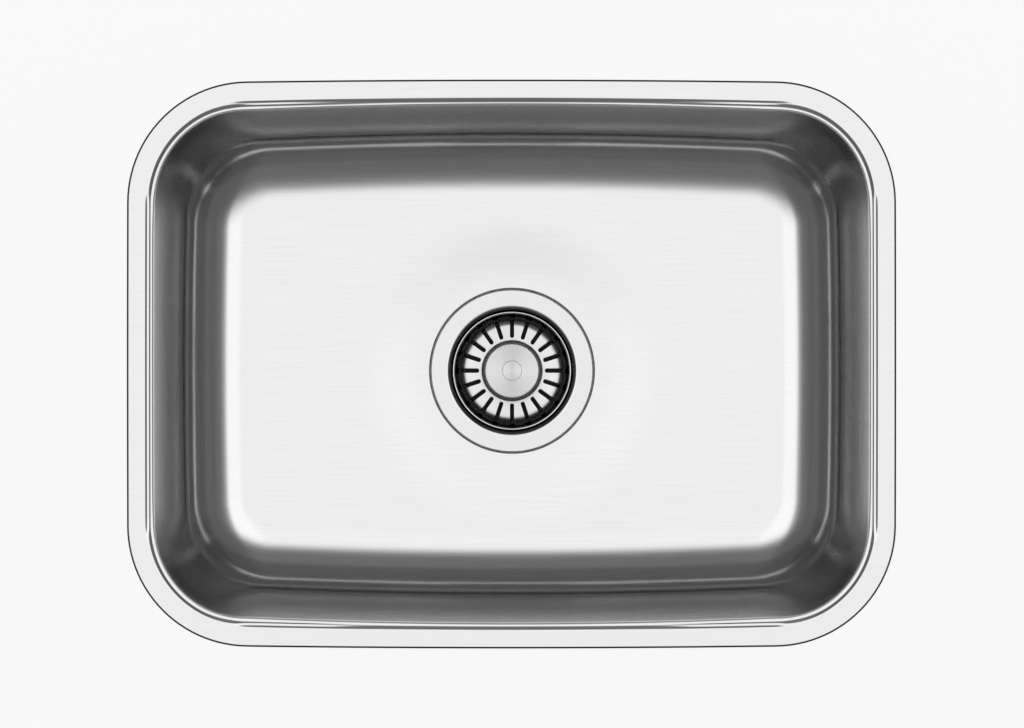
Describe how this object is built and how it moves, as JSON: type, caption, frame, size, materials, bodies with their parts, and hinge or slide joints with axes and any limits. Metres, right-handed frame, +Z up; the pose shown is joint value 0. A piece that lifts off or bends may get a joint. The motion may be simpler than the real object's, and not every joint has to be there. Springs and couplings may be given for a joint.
{
  "type": "undermount kitchen sink",
  "caption": "Single-bowl pressed steel undermount sink with a flat flange, deep rounded bowl, and a lift-out basket strainer over its waste outlet.",
  "frame": {"origin": "centre of the bowl's mouth, in the plane of the flange's top face, where the worktop's underside lies", "axes": "+X along the bowl's longer side, +Y to the back of the sink, +Z up out of the mouth"},
  "size_m": [0.52, 0.3846, 0.3695],
  "materials": {
    "satin_steel": "satin",
    "strainer_steel": "satin",
    "turned_steel": "satin",
    "brass_nut": "satin",
    "black_rubber": "matte",
    "white_seal": "matte",
    "card": "matte",
    "cast_zinc": "satin",
    "plated_brass": "polished",
    "pad_rubber": "matte"
  },
  "bodies": {
    "sink": {"bowl": "satin_steel", "strainer_seal": "white_seal", "strainer_body": "strainer_steel", "rubber_gasket": "black_rubber", "friction_ring": "card", "lock_nut": "cast_zinc", "crossbar": "turned_steel", "tailpiece_washer": "white_seal", "tailpiece": "plated_brass", "coupling_nut": "plated_brass", "bottom_pad_left": "pad_rubber", "bottom_pad_right": "pad_rubber", "side_pad_left": "pad_rubber", "side_pad_right": "pad_rubber", "side_pad_front": "pad_rubber", "side_pad_back": "pad_rubber"},
    "stopper_stack": {"stem": "strainer_steel", "stem_spacer": "turned_steel", "stopper": "black_rubber", "stopper_washer": "turned_steel", "stem_nut": "brass_nut", "spring_clip": "turned_steel"},
    "basket_unit": {"basket": "strainer_steel", "knob": "strainer_steel"}
  },
  "joints": [
    {"name": "basket_lift", "type": "slide", "parent": "sink", "child": "stopper_stack", "axis": [0, 0, 1], "range_m": [0, 0.27]},
    {"name": "basket_spin", "type": "hinge", "parent": "stopper_stack", "child": "basket_unit", "pos_m": [0, -0.005, -0.2275], "axis": [0, 0, 1], "continuous": true}
  ]
}
